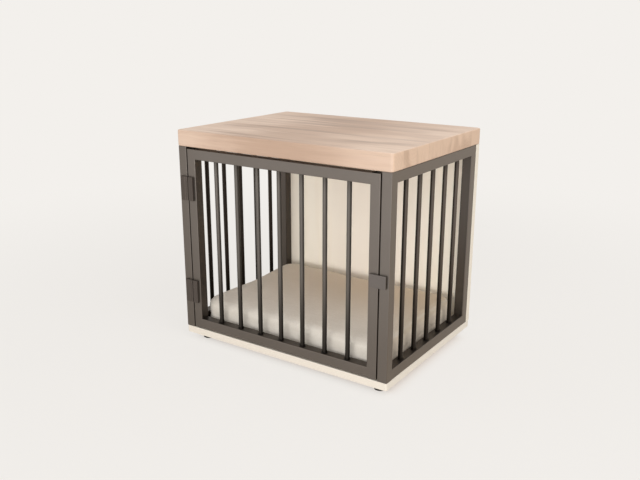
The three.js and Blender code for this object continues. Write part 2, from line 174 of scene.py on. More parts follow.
class Finish:
    """One material: a Principled shader and the fields that feed it."""

    def __init__(self, name, **constants):
        self.material = bpy.data.materials.new(name)
        self.material.use_nodes = True
        self.tree = self.material.node_tree
        self.tree.nodes.clear()
        self.shader = self.tree.nodes.new("ShaderNodeBsdfPrincipled")
        self.output = self.tree.nodes.new("ShaderNodeOutputMaterial")
        self.tree.links.new(self.shader.outputs[0], self.output.inputs["Surface"])
        for socket, value in constants.items():
            self.shader.inputs[socket.replace("_", " ")].default_value = value

    def node(self, kind, settings=None, sockets=None, output=0):
        made = self.tree.nodes.new("ShaderNode" + kind)
        for key, value in (settings or {}).items():
            setattr(made, key, value)
        for key, value in (sockets or {}).items():
            if isinstance(value, Field):
                self.tree.links.new(value.socket, made.inputs[key])
            else:
                made.inputs[key].default_value = value
        return Field(self, made.outputs[output])

    def feed(self, socket, value):
        self.tree.links.new(value.socket, self.shader.inputs[socket])

    def place(self):
        """Where a point lies on the piece, in metres."""
        return self.node("TexCoord", output="Object")

    def facing(self):
        """Which way the surface faces, in the piece's own directions."""
        return self.node("TexCoord", output="Normal")

    def parts(self, vector):
        split = self.tree.nodes.new("ShaderNodeSeparateXYZ")
        self.tree.links.new(vector.socket, split.inputs[0])
        return [Field(self, output) for output in split.outputs]

    def join(self, x, y, z):
        return self.node("CombineXYZ", None, {0: x, 1: y, 2: z})

    def grain(self, vector, scale, detail=3.0, roughness=0.5, distortion=0.0):
        """Soft noise from 0 to 1, about 0.5. A scale for each axis draws it out into streaks."""
        if isinstance(scale, tuple):
            vector = self.node("Mapping", None, {"Vector": vector, "Scale": scale})
            scale = 1.0
        sockets = {"Vector": vector, "Scale": scale, "Detail": detail}
        sockets.update({"Roughness": roughness, "Distortion": distortion})
        return self.node("TexNoise", None, sockets)

    def chance(self, number):
        """One random number from 0 to 1 for each whole number."""
        return self.node("TexWhiteNoise", {"noise_dimensions": "1D"}, {"W": number})

    def blend(self, share, first, second):
        """A colour between two colours."""
        colours = {MIX_SHARE: share, MIX_FIRST: first, MIX_SECOND: second}
        return self.node("Mix", {"data_type": "RGBA"}, colours, MIX_COLOUR)

    def bump(self, height, strength, distance):
        sockets = {"Height": height, "Strength": strength, "Distance": distance}
        self.feed("Normal", self.node("Bump", None, sockets))


def shade(red, green, blue):
    """The linear colour that a shader takes, from one as a screen shows it, from 0 to 255."""

    def linear(value):
        value = value / 255
        return value / 12.92 if value <= 0.04045 else ((value + 0.055) / 1.055) ** 2.4

    return (linear(red), linear(green), linear(blue), 1.0)


def times(colour, red, green, blue):
    """A linear colour with each of its channels multiplied."""
    return (colour[0] * red, colour[1] * green, colour[2] * blue, 1.0)


# %% [markdown]
# ## Powder-coated steel
# The frame is coated with a warm black-brown powder that holds fine metal flakes, and is baked
# until it flows into a satin skin with a faint orange peel. With flakes, nearly all that one sees
# is a blurred reflection: pale where a face looks out into the room and almost black where it looks
# at its neighbours. So the coat is mostly metallic. Two noises shift its colour a little, and a
# fine one makes the peel. Shade is painted into the colour: the faces that look into the crate are
# darker, as are the lowest parts and the hinge side, and the outer faces of the two sides are
# painted darker and warmer. The hinge blocks have a darker coat, and the latch's tab a greyer one.
#
# On a round bar the same painted shade fades round the bar, away from the side that it belongs to.
# Shade is also painted into the corners by the welds, and the low part of a bar is painted darkest.

# %% Steel finishes
# Ranges of height, place and distance are in metres. Tints multiply the coat's colour.
INWARD = (-3.4, -2.6, -3.8)
FRAME_MIDDLE = 0.275
BAR_MIDDLE = 0.276
BY_WELDS = (0.165, 0.218)
LOW_PARTS = (0.02, 0.42)
LOW_BARS = (0.10, 0.26)
HINGE_SIDE = (-0.34, -0.20)
DEEPER = (0.88, 0.87, 0.86)
PALER = (1.12, 1.12, 1.13)
# These tints paint shade into the coat.
SHADE_TINT = (0.64, 0.60, 0.54)
SIDE_SHADE_TINT = (0.88, 0.80, 0.69)
DEEP_SHADE_TINT = (0.25, 0.23, 0.21)
NEARLY_BLACK = (0.03, 0.02, 0.01)


def powder_coat(
    name, colour, roughness, metallic, inner_shade=0.0, begins=0.2, ends=0.7, ways=INWARD, shade_share=0.46
):
    """Of the keyword values, the first is the share of painted shade on faces that look into the
    crate, ways is how much each axis counts in it, and it grows from begins to ends. The last is
    the share of painted shade on the low parts and the hinge side.
    """
    coat = Finish(name, Metallic=metallic)
    place = coat.place()
    x, y, z = coat.parts(place)
    nx, ny, nz = coat.parts(coat.facing())
    cloud = coat.grain(place, 7.0)
    dust = coat.grain(place, 260.0, detail=2.0)
    full = shade(*colour)
    deep_shade = times(full, *DEEP_SHADE_TINT)
    shade_tone = times(full, *SHADE_TINT)
    # Painted shade: the low parts and the hinge side are painted darker, most of all low on the
    # outer faces of the two sides.
    outer_side = (nx * x * 3.4).smooth(0.55, 0.95)
    low = 1 - z.smooth(*LOW_PARTS)
    skin = coat.blend(cloud * 0.7 + dust * 0.3, times(full, *DEEPER), times(full, *PALER))
    skin = coat.blend(low * (1 + outer_side * 1.4) * shade_share, skin, shade_tone)
    skin = coat.blend((1 - x.smooth(*HINGE_SIDE)) * shade_share * 0.9, skin, shade_tone)
    # Painted shade: the outer faces of the two sides are painted darker and warmer.
    skin = coat.blend(outer_side * 0.85, skin, times(full, *SIDE_SHADE_TINT))
    # Painted shade: faces that look into the crate are painted darker.
    if inner_shade:
        towards = (nx * x * ways[0]) + (ny * y * ways[1]) + (nz * (z - FRAME_MIDDLE) * ways[2])
        skin = coat.blend(towards.smooth(begins, ends) * inner_shade, skin, deep_shade)
    # Painted shade on the bars: darker in the corners by the welds, and darkest at a bar's foot.
    if ways is not INWARD:
        by_weld = abs(z - BAR_MIDDLE).smooth(*BY_WELDS)
        skin = coat.blend(by_weld * 0.45, skin, deep_shade)
        low_bar = 1 - z.smooth(*LOW_BARS)
        skin = coat.blend(low_bar * 0.68, skin, times(full, *NEARLY_BLACK))
    coat.feed("Base Color", skin)
    coat.feed("Roughness", roughness - 0.05 + cloud * 0.06 + dust * 0.04)
    peel = coat.grain(place, 620.0, detail=2.0, roughness=0.4)
    coat.bump(peel, strength=0.22, distance=0.4 * MM)
    return coat.material


finishes = {
    "black_steel": powder_coat("satin_powder_coat", (126, 119, 113), 0.42, 0.9, inner_shade=0.84),
    "hinge_steel": powder_coat("hinge_powder_coat", (93, 85, 79), 0.46, 0.8, shade_share=0.0),
    "tab_steel": powder_coat("latch_grey_coat", (117, 111, 107), 0.46, 0.85, shade_share=0.1),
}
# The bars' coats are darker copies of the frame's coat, which paints the shade among the bars, and
# the side bars take more painted shade low down.
bar_coats = {
    "door": powder_coat(
        "door_bar_coat", (109, 104, 99), 0.42, 0.9,
        inner_shade=1.0, begins=-0.85, ends=0.12, ways=(0.0, -4.6, 0.0), shade_share=0.3,
    ),
    "side": powder_coat(
        "side_bar_coat", (106, 98, 92), 0.42, 0.9,
        inner_shade=1.0, begins=-0.75, ends=0.25, ways=(-3.4, 0.0, 0.0), shade_share=1.3,
    ),
}

# %% [markdown]
# ## Bright metal and rubber
# Screws, nut, bolt and washer are zinc plated, and the magnet is nickel plated. Plating shows as a
# mirror broken up by its roughness, so the noise goes there and hardly into the colour. The feet
# are moulded rubber, dull and slightly grained.

# %% Plating and rubber
def plating(name, colour, roughness):
    metal = Finish(name, Metallic=1.0)
    place = metal.place()
    cloud = metal.grain(place, 320.0)
    scratch = metal.grain(place, (2600.0, 260.0, 260.0), detail=2.0)
    tone = shade(*colour)
    metal.feed("Base Color", metal.blend(cloud, times(tone, 0.82, 0.82, 0.82), tone))
    metal.feed("Roughness", roughness + cloud * 0.12 + scratch * 0.08)
    metal.bump(scratch, strength=0.08, distance=0.2 * MM)
    return metal.material


def moulded_rubber():
    rubber = Finish("foot_rubber", Specular_IOR_Level=0.35)
    place = rubber.place()
    cloud = rubber.grain(place, 90.0, detail=4.0)
    rubber.feed("Base Color", rubber.blend(cloud, shade(34, 32, 31), shade(52, 49, 47)))
    rubber.feed("Roughness", 0.68 + cloud * 0.16)
    rubber.bump(rubber.grain(place, 900.0, detail=2.0), strength=0.3, distance=0.2 * MM)
    return rubber.material


finishes["zinc"] = plating("zinc_plate", (196, 198, 202), 0.26)
finishes["magnet_nickel"] = plating("nickel_plate", (208, 204, 196), 0.16)
finishes["foot_rubber"] = moulded_rubber()

# %% [markdown]
# ## The oiled wood top
# The slab is glued up from staves that run the width of the table. Along the grain one sees long
# streaks, and at the two ends one sees the growth rings of each stave, cut across. So the shader
# first numbers the staves by their place from front to back, gives each one a tone and a slice of
# the grain of its own, and then chooses between long grain and rings by which way a face looks.

# %% Wood top finish
STAVE_WIDTH = 0.058
STAVE_SHIFT = 0.004
HEART_MIDDLE = 0.01
HEART_REACH = (0.03, 0.28)
LINES_MIDDLE = 0.05
LINES_REACH = (0.12, 0.33)
RING_RATE = 46.0
FACES_IT = (0.60, 0.90)


def oiled_wood():
    wood = Finish("oiled_staves", Specular_IOR_Level=0.38)
    x, y, z = wood.parts(wood.place())
    nx, _, nz = wood.parts(wood.facing())

    stave = (y + STAVE_SHIFT) / STAVE_WIDTH
    number = stave.floor()
    tone = wood.chance(number + 3.0)
    slice_ = wood.chance(number + 41.0)
    own = wood.join(x + slice_ * 3.0, y, z + slice_ * 0.6)
    broad = wood.join(x + tone * 0.16, y + tone * 0.012, z)
    band = wood.grain(broad, (2.3, 10.0, 10.0), detail=2.0, roughness=0.45, distortion=0.6)
    streak = wood.grain(own, (4.0, 60.0, 60.0), detail=4.0, roughness=0.55)
    fibre = wood.grain(own, (14.0, 820.0, 820.0), roughness=0.7)

    # The heartwood shows as one broad, darker figure in the middle of the length, which fades out
    # in long tongues towards the pale ends. Fine dark lines run within it.
    drift = wood.grain(broad, (3.0, 9.0, 9.0), detail=2.0) - 0.5
    ragged = (streak - 0.5) * 0.34
    heart = 1 - abs(x - HEART_MIDDLE + drift * 0.50 + ragged).smooth(*HEART_REACH)
    up_face = nz.smooth(*FACES_IT)
    # Painted shade: faces other than the top are painted darker, and the heartwood shows more on
    # them.
    off_top_shade = (1 - up_face) * 0.42
    honeyed = streak.smooth(0.34, 0.74) * 0.33 + tone * 0.12 + off_top_shade
    long_grain = wood.blend(honeyed, shade(244, 219, 199), shade(217, 186, 163))
    long_grain = wood.blend(heart * (0.80 - up_face * 0.14), long_grain, shade(192, 161, 139))
    inner = 1 - abs(x - LINES_MIDDLE + drift * 0.30).smooth(*LINES_REACH) * 0.85
    lines = (band * 0.66 + streak * 0.34).smooth(0.47, 0.63) * inner * (0.10 + up_face * 0.46)
    long_grain = wood.blend(lines, long_grain, shade(176, 151, 135))
    long_grain = wood.blend(fibre.smooth(0.50, 0.80) * 0.20, long_grain, shade(150, 122, 102))

    # Each stave was sawn from its own part of the trunk, so its rings have their own centre.
    across = (y / STAVE_WIDTH).fraction() - tone * 2.4 + 0.7
    up = z / STAVE_WIDTH - 9.8 + slice_ * 1.6
    wander = wood.grain(own, (20.0, 60.0, 60.0), detail=2.0)
    patch = wood.grain(own, (8.0, 21.0, 12.0), detail=2.0)
    radius = (across * across + up * up) ** 0.5 + wander * 0.22
    ring = (radius * RING_RATE).wave() * 0.5 + 0.5
    tones = patch.smooth(0.44, 0.70) * 0.50 + ring.smooth(0.35, 1.0) * 0.08 + tone * 0.12
    end_grain = wood.blend(tones, shade(230, 199, 173), shade(188, 155, 129))
    seam = abs((stave.fraction() - 0.5) * 2.0).smooth(0.965, 1.0)
    end_grain = wood.blend(seam * 0.35, end_grain, shade(172, 138, 112))

    end = abs(nx).smooth(*FACES_IT)
    wood.feed("Base Color", wood.blend(end, long_grain, end_grain))
    wood.feed("Roughness", 0.46 + streak * 0.12 + fibre * 0.08)
    relief = fibre * 0.6 + streak * 0.4 + ring * end * 0.3
    wood.bump(relief, strength=0.16, distance=0.4 * MM)
    return wood.material


finishes["wood_top"] = oiled_wood()

# %% [markdown]
# ## Plywood and board
# A cut edge of plywood shows its plies: long-grain veneers as pale lines between darker ones that
# were cut across. The faces show one quiet rotary-cut veneer. The same recipe makes the base, whose
# plies are stacked upwards, and the cream board at the back, whose plies are stacked front to back
# and whose middle is painted a little darker, as painted shade that evens out the light on it.

# %% Plywood finishes
PLIES = 11
MIDDLE_SHADE_REACH = (0.05, 0.24)


def layered_board(name, node, stack, pale, deep, lines, contrast, flow, fine_flow, centre=None):
    """stack is the axis across the plies, 1 for y and 2 for z. flow and fine_flow are the scales of
    the veneer's figure and fibres, and centre is a darker tone painted on the middle of the face,
    as painted shade.
    """
    board = Finish(name, Specular_IOR_Level=0.3)
    place = board.place()
    along = board.parts(place)
    facing = board.parts(board.facing())
    low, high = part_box(node)
    ply = (high[stack] - low[stack]) / PLIES
    wobble = board.grain(place, 30.0, detail=2.0) - 0.5
    layer = (along[stack] - low[stack]) / ply + wobble * 0.18
    odd = (layer * 0.5).fraction() > 0.5
    glue = abs(layer.fraction() - 0.5).smooth(0.40, 0.50)
    fleck = board.grain(place, 900.0, detail=2.0)
    edge = board.blend(odd * 0.75 * contrast + fleck * 0.2, pale, lines)
    edge = board.blend(glue * 0.5 * contrast, edge, shade(150, 118, 90))

    figure = board.grain(place, flow, detail=4.0, roughness=0.55, distortion=1.2)
    fine = board.grain(place, fine_flow)
    face = board.blend(figure.smooth(0.35, 0.75) * 0.6 + fine * 0.18, pale, deep)
    # Painted shade: the middle of the face is painted darker.
    if centre:
        inner = 1 - abs(along[0]).smooth(*MIDDLE_SHADE_REACH)
        face = board.blend(inner * 0.8, face, centre)

    flat = abs(facing[stack]).smooth(0.55, 0.85)
    board.feed("Base Color", board.blend(flat, edge, face))
    board.feed("Roughness", 0.52 + fine * 0.14)
    board.bump(fine * 0.7 + odd * (1 - flat) * 0.5, strength=0.14, distance=0.4 * MM)
    return board.material


finishes["birch_plywood"] = layered_board(
    "birch_plywood", "plywood_base", 2,
    shade(250, 242, 230), shade(238, 226, 208), shade(230, 215, 194),
    contrast=0.35, flow=(4.0, 26.0, 26.0), fine_flow=(60.0, 900.0, 900.0),
)
finishes["cream_board"] = layered_board(
    "cream_board", "back_panel", 1,
    shade(252, 244, 229), shade(246, 236, 217), shade(222, 208, 186),
    contrast=0.5, flow=(26.0, 26.0, 3.0), fine_flow=(900.0, 900.0, 60.0),
    centre=shade(236, 226, 213),
)

# %% [markdown]
# ## Pad fabric
# The pad is covered in a plain cloth of greige yarn. Up close it is a plain weave, two sets of
# yarns that pass over and under each other. From a step away it is a soft, slightly mottled matt
# surface. Shade is painted on it: its top darker and browner towards the back and the right, and
# its left and right sides and the right edge of its top warmer and darker. The weave is made from
# sines of the place on the piece. On the sides the height takes over from the direction that runs
# into the cloth, so that it never stretches.

# %% Pad fabric finish
YARNS_PER_METRE = 760.0
SHADE_BACKWARDS = (-0.20, 0.12)
SHADE_RIGHTWARDS = (-0.28, 0.14)
RIGHT_EDGE = (0.225, 0.262)
BEHIND_FRONT = (-0.16, -0.04)
SIDEWAYS = (0.55, 0.8)


def woven_cloth():
    cloth = Finish("greige_cloth", Specular_IOR_Level=0.12, Sheen_Weight=0.25, Sheen_Roughness=0.6)
    place = cloth.place()
    x, y, z = cloth.parts(place)
    nx, ny, nz = cloth.parts(cloth.facing())
    side_x = abs(nx).smooth(*SIDEWAYS)
    side_y = abs(ny).smooth(*SIDEWAYS)
    turns = YARNS_PER_METRE * math.pi
    warp = ((x * (1 - side_x) + z * side_x) * turns).wave()
    weft = ((y * (1 - side_y) + z * side_y) * turns).wave()
    over = warp * weft
    rib = abs(warp) + abs(weft)
    yarn = cloth.grain(place, 240.0, detail=4.0, roughness=0.65)
    slub = cloth.grain(place, (26.0, 190.0, 60.0), roughness=0.6)
    mottle = cloth.grain(place, 16.0)
    share = yarn * 0.45 + slub * 0.3 + mottle * 0.25
    colour = cloth.blend(share.smooth(0.25, 0.80), shade(242, 235, 224), shade(222, 213, 199))
    # Painted shade: the top is painted darker and browner towards the back and the right, where the
    # crate's roof shades it.
    up_face = nz.smooth(0.72, 1.0)
    roof_shade = y.smooth(*SHADE_BACKWARDS) * 0.92 + 0.03
    roof_shade = roof_shade * (x.smooth(*SHADE_RIGHTWARDS) * 0.45 + 0.55)
    colour = cloth.blend(up_face * roof_shade, colour, shade(200, 180, 152))
    # Painted shade: the left and right sides and the right edge of the top are painted warmer and
    # darker.
    colour = cloth.blend(side_x * (1 - up_face) * 0.60, colour, shade(212, 190, 162))
    right_edge_shade = x.smooth(*RIGHT_EDGE) * y.smooth(*BEHIND_FRONT) * nz.smooth(0.15, 0.55)
    colour = cloth.blend(right_edge_shade * 0.55, colour, shade(200, 184, 158))
    colour = cloth.blend((over * 0.5 + 0.5) * 0.08, colour, shade(168, 156, 138))
    cloth.feed("Base Color", colour)
    cloth.feed("Roughness", 0.86 + yarn * 0.1)
    cloth.bump(rib * 0.35 + over * 0.25 + yarn * 0.4, strength=0.30, distance=0.6 * MM)
    return cloth.material


finishes["pad_fabric"] = woven_cloth()

# %% [markdown]
# ## Working by hand, in code
# An operator acts on whatever is selected, so each step here first clears the selection and then
# picks what it needs by place or by normal. A finished piece is settled: its place is put into its
# mesh, and it gets its finish, the body it rides on and the solid it stands for.

# %% Modelling helpers
# How much of a unit direction lies along an axis, for it to count as running along that axis.
ALONG = 0.9
DRILL_SIDES = 32


def only(piece):
    """Selects one object and makes it the active one."""
    bpy.ops.object.select_all(action="DESELECT")
    piece.select_set(True)
    bpy.context.view_layer.objects.active = piece


def edit(piece):
    only(piece)
    bpy.ops.object.mode_set(mode="EDIT")


def leave():
    bpy.ops.object.mode_set(mode="OBJECT")


def pick(piece, kind, test):
    """In edit mode, selects the edges or the faces that pass a test."""
    bpy.ops.mesh.select_mode(type={"edges": "EDGE", "faces": "FACE"}[kind])
    bpy.ops.mesh.select_all(action="DESELECT")
    shape = bmesh.from_edit_mesh(piece.data)
    for part in getattr(shape, kind):
        if test(part):
            part.select_set(True)
    shape.select_flush_mode()
    bmesh.update_edit_mesh(piece.data)


def put_down(piece):
    """Moves the object's place, turn and scale into its mesh."""
    only(piece)
    bpy.ops.object.transform_apply(location=True, rotation=True, scale=True)
    return piece


def cube_between(name, low, high):
    bpy.ops.object.select_all(action="DESELECT")
    bpy.ops.mesh.primitive_cube_add(size=1.0, location=(low + high) / 2)
    piece = bpy.context.object
    piece.name = name
    piece.scale = high - low
    return put_down(piece)


def cylinder(name, radius, length, centre, sides, axis="z"):
    """A cylinder along y or z, with its place already in its mesh."""
    turns = {"y": (math.pi / 2, 0, 0), "z": (0, 0, 0)}
    bpy.ops.object.select_all(action="DESELECT")
    bpy.ops.mesh.primitive_cylinder_add(
        vertices=sides, radius=radius, depth=length, location=centre, rotation=turns[axis]
    )
    piece = bpy.context.object
    piece.name = name
    return put_down(piece)


def round_edges(piece, axis, radius, segments):
    """Rounds the edges that run along an axis."""
    edit(piece)

    def runs_along(edge):
        way = (edge.verts[1].co - edge.verts[0].co).normalized()
        return abs(way[axis]) > ALONG

    pick(piece, "edges", runs_along)
    bpy.ops.mesh.bevel(offset=radius, segments=segments, affect="EDGES")
    leave()


def modify(piece, kind, **settings):
    """Adds a modifier and applies it."""
    only(piece)
    modifier = piece.modifiers.new(kind.lower(), kind)
    for key, value in settings.items():
        setattr(modifier, key, value)
    bpy.ops.object.modifier_apply(modifier=modifier.name)
    return piece


def ease(piece, width, segments, angle):
    """Rounds over every edge that is sharper than an angle."""
    return modify(
        piece, "BEVEL", width=width, segments=segments, limit_method="ANGLE",
        angle_limit=math.radians(angle), miter_outer="MITER_ARC", use_clamp_overlap=True,
    )


def carve(piece, cutter):
    """Takes the cutter's shape away from the piece and throws the cutter away."""
    modify(piece, "BOOLEAN", object=cutter, operation="DIFFERENCE", solver="EXACT")
    bpy.data.objects.remove(cutter, do_unlink=True)


def bore(piece, radius, length, centre, axis="z"):
    carve(piece, cylinder("cutter", radius, length, centre, DRILL_SIDES, axis))


def smooth(piece, angle=35):
    """Smooth shading between sharp edges, in which large faces stay flat up to their bevels."""
    only(piece)
    bpy.ops.object.shade_smooth_by_angle(angle=math.radians(angle))
    return modify(piece, "WEIGHTED_NORMAL", keep_sharp=True, weight=60)


def settle(piece, name, *solids, finish=None):
    """Names a finished piece and ties it to the frame: its finish, its body and its solids."""
    put_down(piece)
    piece.name = name
    piece.data.name = name
    slot = slot_of[solids[0]]
    piece.data.materials.clear()
    piece.data.materials.append(finish or finishes[slot])
    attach(piece, frame["nodes"][solids[0]]["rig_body"])
    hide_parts(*solids)


def copy_of(model, shift):
    """A copy with a mesh of its own, moved by shift."""
    twin = model.copy()
    twin.data = model.data.copy()
    twin.data.transform(Matrix.Translation(shift))
    bpy.context.scene.collection.objects.link(twin)
    return twin


def middle(node, **moved):
    """The middle of a solid's box, with its x, y or z moved where that is asked for."""
    low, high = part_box(node)
    spot = (low + high) / 2
    for axis, value in moved.items():
        setattr(spot, axis, value)
    return spot


def tall(node):
    """The height of a solid's box."""
    low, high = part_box(node)
    return high.z - low.z


# %% [markdown]
# ## Square tubes
# Square tube is rolled and welded from strip, so its four long edges are round and its ends are
# open. A cube is stretched over the solid's box, its two end faces are deleted, its long edges are
# bevelled, and a Solidify modifier gives the wall. Rails are run on into the posts' round corners,
# because the welds there are ground flush, and no groove is left between them.

# %% Tubes
TUBE_CORNER = 2 * MM
TUBE_WALL = 1.5 * MM
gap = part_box("left_top_rail")[0].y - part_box("left_front_post")[1].y
run_in = gap + TUBE_CORNER


def square_tube(node, axis, reach=0.0):
    """axis is the one the tube runs along, and reach is how far it runs on past its solid."""
    low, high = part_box(node)
    low[axis] -= reach
    high[axis] += reach
    tube = cube_between(node + "_tube", low, high)
    edit(tube)
    pick(tube, "faces", lambda face: abs(face.normal[axis]) > ALONG)
    bpy.ops.mesh.delete(type="ONLY_FACE")
    leave()
    round_edges(tube, axis, TUBE_CORNER, 6)
    return modify(tube, "SOLIDIFY", thickness=TUBE_WALL, offset=-1.0, use_even_offset=True)


tubes = {}
for side in SIDES:
    for end in ENDS:
        tubes[f"{side}_{end}_post"] = square_tube(f"{side}_{end}_post", 2)
    for level in ("top", "bottom"):
        tubes[f"{side}_{level}_rail"] = square_tube(f"{side}_{level}_rail", 1, run_in)
for edge in ("hinge", "latch"):
    tubes[f"door_{edge}_stile"] = square_tube(f"door_{edge}_stile", 2)
for level in ("top", "bottom"):
    tubes[f"door_{level}_rail"] = square_tube(f"door_{level}_rail", 0, run_in)
print("tubes:", len(tubes), "fitting gap in mm:", round(gap / MM, 3))

# %% [markdown]
# ## Holes for screws and for the latch
# The rails and rear posts are drilled for the screws that hold the boards, and the door's latch
# stile for the bolt that the tab turns on. A drill is a cylinder, taken away with a Boolean. It is
# long enough for both walls of a tube, or it stands in one wall alone.

# %% Drill the tubes
SCREW_HOLE = 2.8 * MM
BOLT_HOLE = 3.3 * MM
BOTH_WALLS = 50 * MM
ONE_WALL = 20 * MM
screw_ends = [(side, end) for side in SIDES for end in ENDS]
panel_screws = [(side, level) for side in SIDES for level in LEVELS]
for side, end in screw_ends:
    screw = f"top_screw_{side}_{end}"
    rail_middle = middle(screw, z=middle(f"{side}_top_rail").z)
    bore(tubes[f"{side}_top_rail"], SCREW_HOLE, BOTH_WALLS, rail_middle)
    foot_of_rail = middle(screw, z=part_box(f"{side}_bottom_rail")[0].z)
    bore(tubes[f"{side}_bottom_rail"], SCREW_HOLE, ONE_WALL, foot_of_rail)
for side, level in panel_screws:
    hole = middle(f"panel_screw_{side}_{level}", y=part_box(f"{side}_rear_post")[1].y)
    bore(tubes[f"{side}_rear_post"], SCREW_HOLE, ONE_WALL, hole, "y")
pivot = middle("latch_pivot_bolt", y=middle("door_latch_stile").y)
bore(tubes["door_latch_stile"], BOLT_HOLE, BOTH_WALLS, pivot, "y")
for node, tube in tubes.items():
    ease(tube, 0.25 * MM, 1, 60)
    smooth(tube)
    settle(tube, tube.name, node)

# %% [markdown]
# ## Round bars
# Each bar is a plain rod, welded into its frame top and bottom. The weld shows as a small collar
# that flares out to the rail. One bar of each group is modelled: a cylinder without its flares, to
# whose ends a few rings are extruded, each scaled to lie on a quarter circle. The rest are copies.

# %% Bars
BAR_SIDES = 40
WELD = 1.2 * MM
WELD_RINGS = 5


def round_bar(node):
    low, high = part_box(node)
    radius = (high.x - low.x) / 2
    centre = middle(node)
    length = tall(node) + 2 * gap
    bar = cylinder(node + "_rod", radius, length - 2 * WELD, centre, BAR_SIDES)
    for up in (-1, 1):
        edit(bar)
        pick(bar, "faces", lambda face: face.normal.z * up > ALONG)
        before = 0.0
        size = radius
        for ring in range(1, WELD_RINGS + 1):
            angle = ring / WELD_RINGS * math.pi / 2
            climb = WELD * math.sin(angle)
            wider = radius + WELD * (1 - math.cos(angle))
            step = {"value": (0, 0, up * (climb - before))}
            bpy.ops.mesh.extrude_region_move(TRANSFORM_OT_translate=step)
            share = wider / size
            bpy.ops.transform.resize(value=(share, share, 1), center_override=centre)
            before = climb
            size = wider
        leave()
    return smooth(bar, 50)


bar_count = 0
for group in ("left_bar_", "right_bar_", "door_bar_"):
    names = sorted(node for node in frame["nodes"] if node.startswith(group))
    coat = bar_coats["door" if group == "door_bar_" else "side"]
    model = round_bar(names[0])
    for node in names[1:]:
        settle(copy_of(model, middle(node) - middle(names[0])), node + "_rod", node, finish=coat)
    settle(model, names[0] + "_rod", names[0], finish=coat)
    bar_count += len(names)
print("bars:", bar_count)

# %% [markdown]
# ## The slab, the base and the back
# All three are boards: a cube, with the upright edges of the slab and the base rounded, and then
# its arrises eased. The wood top is sanded rounder than the others. They are bored for their
# screws, with a cone for each countersunk head, so that the heads sit in real recesses.

# %% Boards
SINK_DEPTH = 3.1 * MM
SINK_RADIUS = 5.3 * MM
SINK_PAST = 0.5 * MM
SHANK_BORE = 45 * MM
SHANK_MIDDLE = 12 * MM
TOP_BORE_MIDDLE = 24 * MM


def board(node, corner, easing, segments):
    """corner is the radius of the upright edges, and easing that of all the others."""
    low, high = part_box(node)
    slab = cube_between(node + "_board", low, high)
    if corner:
        round_edges(slab, 2, corner, 10)
    return ease(slab, easing, segments, 50)


def countersink(piece, mouth, direction):
    """A hole with a conical mouth. mouth is the middle of the head's flat, direction the way in."""
    spread = (SINK_RADIUS - SCREW_HOLE) / SINK_DEPTH
    bpy.ops.object.select_all(action="DESELECT")
    bpy.ops.mesh.primitive_cone_add(
        vertices=DRILL_SIDES, radius1=SINK_RADIUS + spread * SINK_PAST, radius2=SCREW_HOLE,
        depth=SINK_DEPTH + SINK_PAST, location=mouth + direction * ((SINK_DEPTH - SINK_PAST) / 2),
    )
    cone = bpy.context.object
    cone.rotation_mode = "QUATERNION"
    cone.rotation_quaternion = Vector((0, 0, 1)).rotation_difference(direction)
    carve(piece, put_down(cone))
    axis = "z" if direction.z else "y"
    bore(piece, SCREW_HOLE, SHANK_BORE, mouth + direction * SHANK_MIDDLE, axis)


wood_top = board("wood_top", 8 * MM, 3.5 * MM, 5)
plywood_base = board("plywood_base", 5 * MM, 0.5 * MM, 2)
back_panel = board("back_panel", 0, 0.5 * MM, 2)
for side, end in screw_ends:
    screw = f"top_screw_{side}_{end}"
    bore(wood_top, SCREW_HOLE, BOTH_WALLS, middle(screw, z=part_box(screw)[1].z - TOP_BORE_MIDDLE))
    screw = f"base_screw_{side}_{end}"
    countersink(plywood_base, middle(screw, z=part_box(screw)[0].z), Vector((0, 0, 1)))
for side, level in panel_screws:
    screw = f"panel_screw_{side}_{level}"
    countersink(back_panel, middle(screw, y=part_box(screw)[1].y), Vector((0, -1, 0)))
for node, piece in (
    ("wood_top", wood_top), ("plywood_base", plywood_base), ("back_panel", back_panel)
):
    smooth(piece, 30)
    settle(piece, node + "_board", node)

# %% [markdown]
# ## Screws
# Wood screws with a pan head hold the top, and flat-headed ones hold the base and the back. Each
# kind is turned from rings: a circle is filled, then extruded and scaled step by step, as on a
# lathe. A cross recess is carved with two tapered blocks. The screws in the crate are copies, and
# those of the back are laid down.

# %% Screws
RECESS = Vector((2.6, 0.55, 1.1)) * MM
RECESS_TAPER = (0.45, 0.7, 1)


def turned(name, profile, sides=32):
    """A solid of revolution about Z. The profile's (radius, z) pairs run upwards, in mm."""
    rings = [(radius * MM, z * MM) for radius, z in profile]
    first_radius, first_z = rings[0]
    bpy.ops.object.select_all(action="DESELECT")
    bpy.ops.mesh.primitive_circle_add(
        vertices=sides, radius=first_radius, fill_type="NGON", location=(0, 0, first_z)
    )
    piece = put_down(bpy.context.object)
    piece.name = name
    edit(piece)
    bpy.ops.mesh.select_all(action="SELECT")
    for (radius, z), (last_radius, last_z) in zip(rings[1:], rings):
        bpy.ops.mesh.extrude_region_move(TRANSFORM_OT_translate={"value": (0, 0, z - last_z)})
        share = radius / last_radius
        bpy.ops.transform.resize(value=(share, share, 1), center_override=(0, 0, z))
    bpy.ops.mesh.select_all(action="SELECT")
    bpy.ops.mesh.normals_make_consistent(inside=False)
    leave()
    return piece


def cross_recess(screw):
    """Carves a cross that narrows inwards into a screw's head, which looks along -Z."""
    for turn in (0, math.pi / 2):
        blade = cube_between("cutter", -RECESS, RECESS)
        edit(blade)
        pick(blade, "faces", lambda face: face.normal.z > ALONG)
        bpy.ops.transform.resize(value=RECESS_TAPER, center_override=(0, 0, 0))
        leave()
        blade.rotation_euler.z = turn
        carve(screw, put_down(blade))


